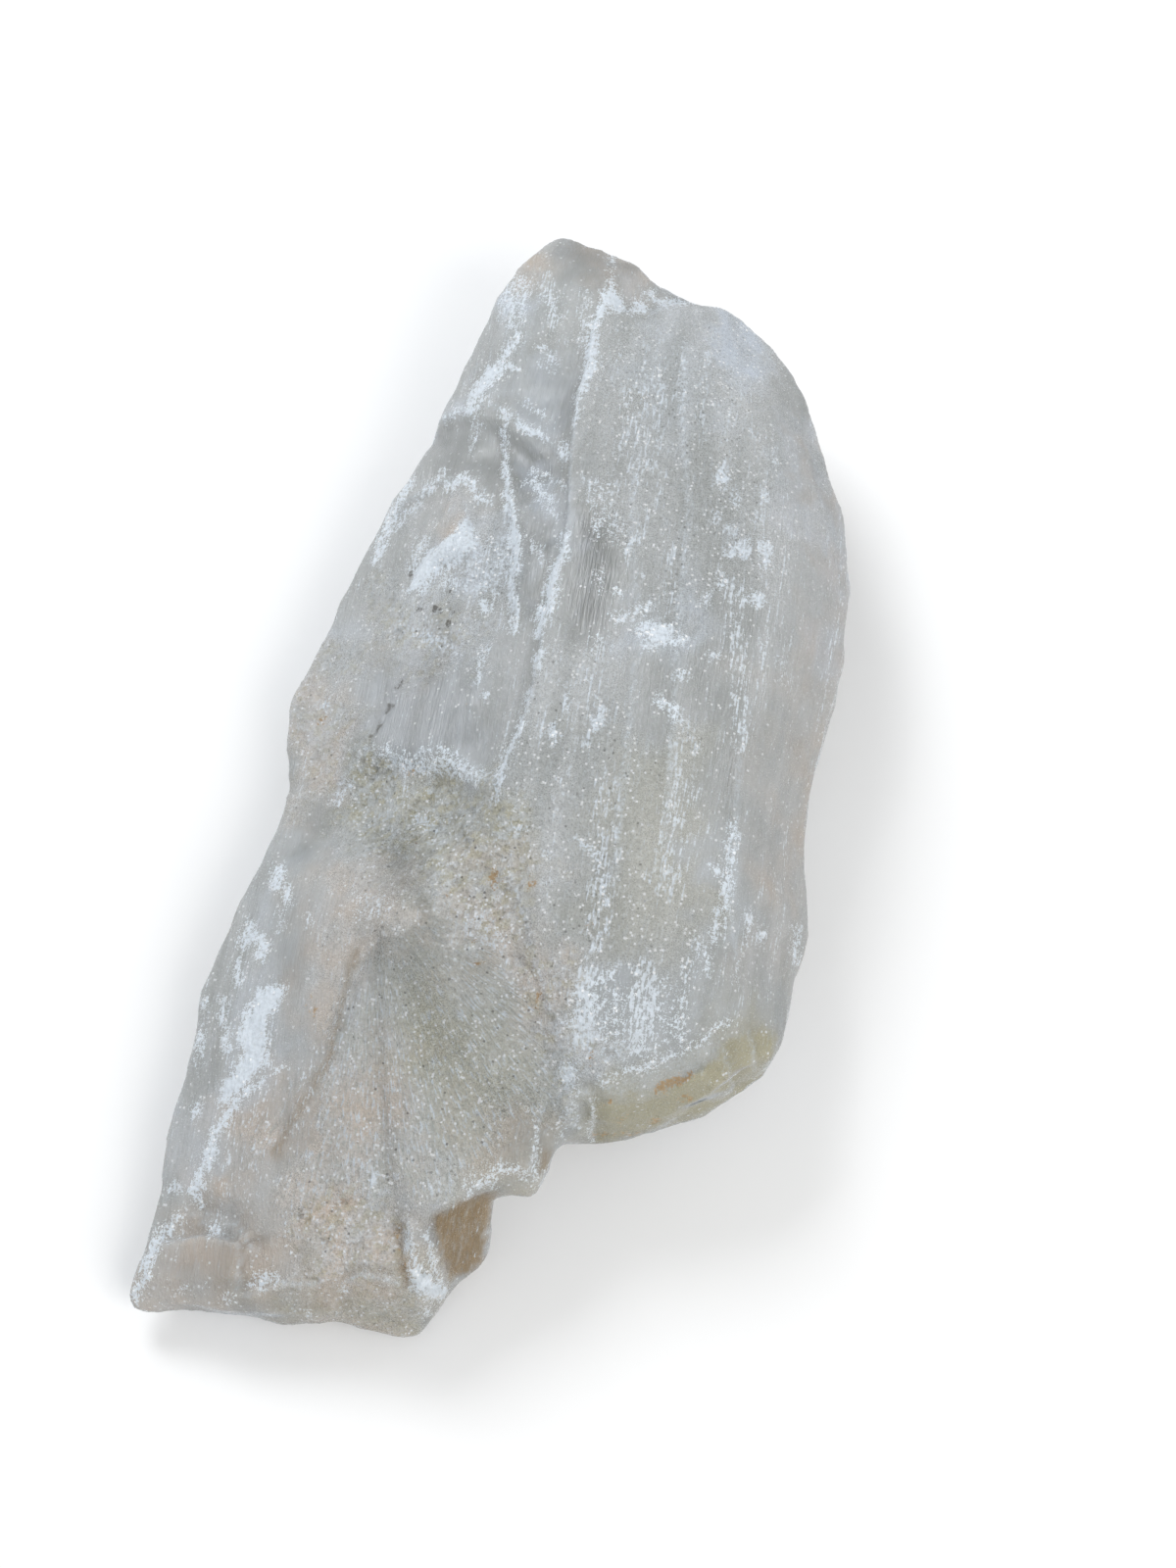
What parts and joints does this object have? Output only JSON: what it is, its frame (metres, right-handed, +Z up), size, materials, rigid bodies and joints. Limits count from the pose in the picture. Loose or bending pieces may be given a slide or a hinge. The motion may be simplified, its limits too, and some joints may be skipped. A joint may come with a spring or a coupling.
{
  "type": "selenite crystal blade",
  "caption": "Natural blade of clear to milky selenite, lying flat, with cleavage ledges, a convex ribbed face and broken ends.",
  "frame": {"origin": "under the middle of the stone, on the surface that it rests on", "axes": "+Z up out of the flat back, +Y along the blade towards its rounded far tip, +X towards the plain right flank"},
  "size_m": [0.1506, 0.312, 0.0657],
  "materials": {
    "selenite": "clear to milky selenite, silky along the fibres, frosted along cracks and ledges"
  },
  "bodies": {
    "root": {"selenite_blade": "selenite"}
  },
  "joints": []
}
